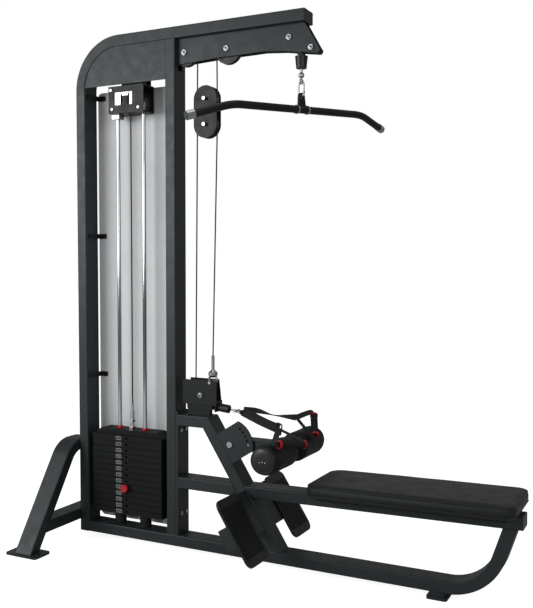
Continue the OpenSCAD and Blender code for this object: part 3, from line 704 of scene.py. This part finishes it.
# ---------------------------------------------------------------- straps and grips
def mm(x, y, z):
    """A place given in millimetres, with X counted from the tower's back face."""
    return Vector(((x - ORIGIN_X) / 1000, y / 1000, z / 1000))


def slider(c, d, body):
    """Three-bar strap slider round c, the strap running along d."""
    half_long, half_wide, wire = 0.0145, 0.0225, 0.0029
    d = d.normalized()
    up = (Vector((0, 0, 1)) - d * d.z).normalized()
    ring = [c + d * a + up * b for a, b in rounded_rect(half_long, half_wide, 0.005, 4)]
    parts = [sweep("slider_frame", ring + ring[:2], wire, "plastic", None, 12, caps=False),
             sweep("slider_bar", [c - up * 0.021, c + up * 0.021], 0.003, "plastic", None, 12)]
    o = join(parts)
    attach(o, body)


def handle(name, v, a, b, body):
    """Webbing from v through a ribbed grip from a to b and back to v; gives the grip."""
    web, web_thick = 0.023, 0.0026
    bore, edge_r, rib_r, groove_r, rib_pitch = 0.0122, 0.014, 0.0155, 0.0147, 0.0022
    u = (b - a).normalized()
    e, f = a - u * 0.014, b + u * 0.014
    mid = (a + b) / 2
    out = (mid - v).normalized()
    flat = u.cross(out).normalized()
    flat = flat if flat.z > 0 else -flat
    pts = [v, v.lerp(e, 0.5) - u * 0.006, e - u * 0.004 - out * 0.004, a + u * 0.01, mid,
           b - u * 0.01, f + u * 0.004 - out * 0.004, v.lerp(f, 0.5) + u * 0.006, v]
    ups = [flat, flat, flat - u * 0.5, flat * 0.3 + out, out, flat * 0.3 + out,
           flat + u * 0.5, flat, flat]
    ribbon(f"{name}_strap", pts, ups, web, web_thick, body)
    length = (b - a).length - 0.014
    steps = int(length / rib_pitch)
    ribs = [(0.0005 + (length - 0.001) * i / steps, rib_r if i % 2 else groove_r)
            for i in range(steps + 1)]
    prof = [(0.0, bore), (0.0, edge_r)] + ribs + [(length, edge_r), (length, bore)]
    return lathe(f"{name}_grip", prof, a + u * 0.007, u, "rubber", body, 40, closed=True)


def straps():
    """The row attachment: two straps from the link, each ending in a handle."""
    body = body_of("row_straps")
    bar = mm(832, 0, 646)
    v1, v2 = mm(1046, -80, 606), mm(1060, 60, 632)
    s1, s2 = bar + Vector((0.007, -0.004, 0.004)), bar + Vector((0.007, 0.004, 0.01))
    side = Vector((0.35, -1, 0.25))
    near = ribbon("strap_near", [s1, s1.lerp(v1, 0.3) + Vector((0, 0, -0.002)),
                                 s1.lerp(v1, 0.65) + Vector((0, -0.002, -0.002)), v1],
                  [side, side + Vector((0, 0, 0.12)), side + Vector((0, 0, -0.1)), side],
                  0.038, 0.003, body)
    ribbon("strap_far", [s2, s2.lerp(v2, 0.25) + Vector((0, 0, 0.004)),
                         s2.lerp(v2, 0.55) + Vector((0, 0, -0.004)),
                         s2.lerp(v2, 0.8) + Vector((0, 0, -0.002)), v2],
           [Vector(d) for d in ((0.1, -0.8, 0.7), (0.1, -0.6, 0.9), (0.1, 0.15, 1),
                                (0.1, -0.3, 1), (0.2, -0.8, 0.6))],
           0.030, 0.0028, body)
    lathe("strap_loop", [(0, 0.0044), (0, 0.0072), (0.001, 0.0076), (0.027, 0.0076),
                         (0.028, 0.0072), (0.028, 0.0044)],
          bar + Vector((0, -0.014, 0)), (0, 1, 0), "webbing", body, 28, closed=True)
    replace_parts(near, "row_straps")
    slider(v1, v1 - s1, body)
    grip = handle("near", v1, mm(1109, -213, 573), mm(1169, -100, 558), body)
    handle("far", v2, mm(1084, 192, 624), mm(1125, 108, 553), body)
    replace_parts(grip, "row_grips")


# ---------------------------------------------------------------- lat bar
def lat_bar():
    """The bar with its two smooth bends and its lug, in place of the mitred one."""
    body = body_of("lat_bar")
    mat = SLOT_OF["lat_bar"]
    hole = 1.946
    turn, tip = math.radians(-19), math.radians(3.9)
    place = (Matrix.Translation(mm(1102, 0, hole * 1000)) @ Matrix.Rotation(turn, 4, "Z")
             @ Matrix.Rotation(tip, 4, "X") @ Matrix.Translation((0, 0, -hole)))
    # one half: the dropped end, then a bend that starts and ends reach from its corner
    bend = Vector((0, 0.378, 1.895))
    along = Vector((-0.2029, 0.9484, -0.2438))
    end_length, reach, steps = 0.1699, 0.046, 14
    half = [bend + along * end_length]
    for i in range(steps + 1):
        t = i / steps
        half.append((bend + along * reach) * (1 - t) ** 2 + bend * 2 * t * (1 - t)
                    + (bend - Vector((0, reach, 0))) * t * t)
    path = half + [Vector((p.x, -p.y, p.z)) for p in reversed(half)]
    bar = sweep("lat_bar_tube", [place @ p for p in path], 0.015, mat, body, 32)
    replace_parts(bar, "lat_bar")
    # the lug: a round eye of eye_r whose sides run down, a little wider, to the bar's centre
    n = 48
    eye_r, hole_r, drop, flare = 0.016, 0.008, 0.051, 0.006
    edge, inner = [], []
    for i in range(n):
        a = 2 * math.pi * i / n
        y, z = math.cos(a), math.sin(a)
        far = eye_r
        if z < 0:
            far = drop / -z
            slope = abs(y) + z * flare / drop
            if slope > 1e-6:
                far = min(far, eye_r / slope)
        edge.append((y * far, z * far))
        inner.append((y * hole_r, z * hole_r))

    def sized(ring, scale):
        return [(a * scale, b * scale) for a, b in ring]

    rings = ((-0.005, inner), (-0.006, sized(inner, 1.06)), (-0.006, sized(edge, 0.95)),
             (-0.005, edge), (0.005, edge), (0.006, sized(edge, 0.95)),
             (0.006, sized(inner, 1.06)), (0.005, inner))
    verts = [place @ Vector((x, a, hole + b)) for x, ring in rings for a, b in ring]
    k = len(rings)
    faces = [(j * n + i, j * n + (i + 1) % n, (j + 1) % k * n + (i + 1) % n,
              (j + 1) % k * n + i) for j in range(k) for i in range(n)]
    soften(new_mesh("lat_bar_lug", verts, faces, mat, body))


# ---------------------------------------------------------------- weight labels
def labels():
    """A framed number on each plate, from 130 on the lowest to 10 on the head plate."""
    plates, resting = 13, 4
    w, h, border, size = 0.029, 0.0165, 0.0022, 0.0115
    thick, face_depth = 0.0008, 0.0004
    lo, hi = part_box("lifted_plates")
    bottom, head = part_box("resting_plates")[0].z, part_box("head_plate")[0].z
    pitch = (head - bottom) / (plates - 1)
    x0, y = (lo.x + hi.x) / 2 - 0.042, lo.y
    outer = rounded_rect(w / 2, h / 2, 0.002, 3)
    inner = rounded_rect(w / 2 - border, h / 2 - border, 0.001, 3)
    n = len(outer)
    for i in range(plates):
        body = "frame" if i < resting else "stack"
        zc = bottom + pitch * i + 0.0137 - (0.001 if i == plates - 1 else 0)
        verts = [(x0 + a, y - out, zc + b)
                 for out, ring in ((0, outer), (thick, outer), (thick, inner),
                                   (face_depth, inner)) for a, b in ring]
        faces = [(j * n + k, j * n + (k + 1) % n, (j + 1) * n + (k + 1) % n, (j + 1) * n + k)
                 for j in range(3) for k in range(n)]
        plate = new_mesh(f"label_{i}", verts, faces, "label", None, False)
        back = new_mesh(f"label_back_{i}", verts[3 * n:], [tuple(range(n))], "plastic",
                        None, False)
        txt = bpy.data.curves.new(f"number_{i}", "FONT")
        txt.body = str((plates - i) * 10)
        txt.size = size
        txt.align_x, txt.align_y = "CENTER", "CENTER"
        txt.extrude = 0.0002
        to = bpy.data.objects.new(f"number_{i}", txt)
        bpy.context.scene.collection.objects.link(to)
        to.matrix_world = (Matrix.Translation((x0 - 0.0005, y - 0.0006, zc))
                           @ Matrix.Rotation(math.pi / 2, 4, "X"))
        bpy.context.view_layer.update()
        me = bpy.data.meshes.new_from_object(
            to.evaluated_get(bpy.context.evaluated_depsgraph_get()))
        me.transform(to.matrix_world)
        bpy.data.objects.remove(to)
        me.materials.clear()
        me.materials.append(MATS["label"])
        num = bpy.data.objects.new(f"digits_{i}", me)
        bpy.context.scene.collection.objects.link(num)
        o = join([plate, back, num])
        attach(o, body)


# ---------------------------------------------------------------- fasteners
def bolt(name, p, axis, r, body):
    """Domed head standing on p; a near-black hexagon in its recess is painted shade for the hex
    socket.
    """
    prof = [(0, r * 0.72), (0.0024, r * 0.72), (0.0038, r * 0.62), (0.0044, r * 0.5),
            (0.0044, r * 0.36), (0.0026, r * 0.3)]
    o = join([lathe(name, prof, p, axis, "steel", None, 24),
              # the hexagon's dark material is painted shade in the socket
              lathe(name + "_socket_shade", [(0.0020, r * 0.3), (0.0036, r * 0.34)], p, axis,
                    "socket", None, 6)])
    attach(o, body)


def fasteners():
    """A bolt on both faces at each axle of the boom, at its nose and at the low pulley."""
    head, boom_face, low_face = 0.011, 0.028, 0.042
    lo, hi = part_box("boom_plates")
    places = [(nm, middle(nm), boom_face) for nm in ("pulley_post", "pulley_boom",
                                                     "pulley_front")]
    places += [("nose", Vector((hi.x - 0.034, 0, lo.z + 0.024)), boom_face),
               ("low", middle("pulley_low"), low_face)]
    for nm, at, face in places:
        for side, s in (("near", -1), ("far", 1)):
            bolt(f"bolt_{nm}_{side}", (at.x, s * face, at.z), (0, s, 0), head, "frame")


place_camera()
place_stage()
seat()
rollers()
cables()
straps()
lat_bar()
labels()
fasteners()
